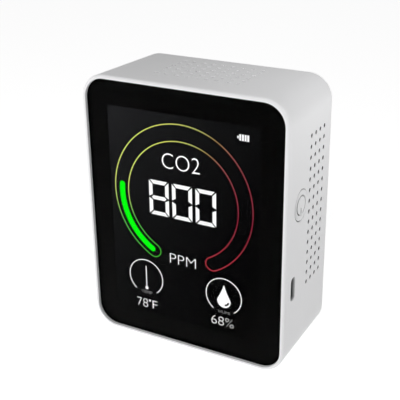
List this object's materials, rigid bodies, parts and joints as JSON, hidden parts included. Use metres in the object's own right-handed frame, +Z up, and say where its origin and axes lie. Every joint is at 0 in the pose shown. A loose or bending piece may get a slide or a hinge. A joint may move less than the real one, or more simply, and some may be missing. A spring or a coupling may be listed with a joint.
{
  "type": "air quality monitor",
  "caption": "Desktop gas, temperature and humidity monitor: upright rounded white case, lit display behind a black-edged window, vented sides and top, side key and charging socket.",
  "frame": {"origin": "middle of the base, where it stands", "axes": "+Z up, the display faces -Y, +X towards the side with the power key and the charging socket"},
  "size_m": [0.072, 0.0356, 0.0915],
  "materials": {
    "case_white": "fine satin moulded ABS",
    "window": "clear polished acrylic",
    "tape": "black foam adhesive",
    "display_glass": "black display cell, lit from behind",
    "diffuser": "milky light guide",
    "sheet_steel": "pressed tinned steel",
    "polyimide": "amber film with copper tracks",
    "board_green": "green solder mask",
    "board_blue": "blue solder mask",
    "chip_black": "moulded epoxy",
    "ferrite": "sintered ferrite",
    "nylon_natural": "natural nylon",
    "black_nylon": "moulded nylon",
    "sensor_gold": "gold plated",
    "membrane": "porous white filter film",
    "battery_foil": "laminated foil pouch",
    "foam": "soft foam pad",
    "wire_red": "silicone insulation",
    "wire_black": "silicone insulation",
    "screw_steel": "zinc plated"
  },
  "bodies": {
    "housing": {"front_shell": "case_white", "rear_cover": "case_white", "front_lens": "window", "lens_tape": "tape", "lcd_cell": "display_glass", "lcd_backlight": "diffuser", "lcd_frame": "sheet_steel", "lcd_flex": "polyimide", "flex_connector": "nylon_natural", "main_board": "board_green", "mcu_chip": "chip_black", "memory_chip": "chip_black", "charger_chip": "chip_black", "regulator_chip": "chip_black", "power_inductor": "ferrite", "humidity_sensor": "nylon_natural", "usb_socket_shell": "sheet_steel", "usb_socket_tongue": "black_nylon", "switch_body": "sheet_steel", "co2_board": "board_blue", "co2_chamber": "sensor_gold", "co2_membrane_1": "membrane", "co2_membrane_2": "membrane", "co2_header_left": "black_nylon", "co2_header_right": "black_nylon", "battery_cell": "battery_foil", "battery_pad": "foam", "battery_socket": "nylon_natural", "battery_plug": "nylon_natural", "battery_lead_red": "wire_red", "battery_lead_black": "wire_black", "rear_screw_1": "screw_steel", "rear_screw_2": "screw_steel", "rear_screw_3": "screw_steel", "rear_screw_4": "screw_steel", "board_screw_1": "screw_steel", "board_screw_2": "screw_steel", "board_screw_3": "screw_steel", "board_screw_4": "screw_steel"},
    "power_key": {"power_button": "case_white"},
    "plunger": {"switch_plunger": "black_nylon"}
  },
  "joints": [
    {"name": "key_press", "type": "slide", "parent": "housing", "child": "power_key", "axis": [-1, 0, 0], "range_m": [0, 0.0005], "stiffness_N_per_m": 1500},
    {"name": "plunger_press", "type": "slide", "parent": "housing", "child": "plunger", "axis": [-1, 0, 0], "range_m": [0, 0.00025]}
  ],
  "couplings": [
    {"joint": "plunger_press", "follows": "key_press", "ratio": 0.5}
  ]
}
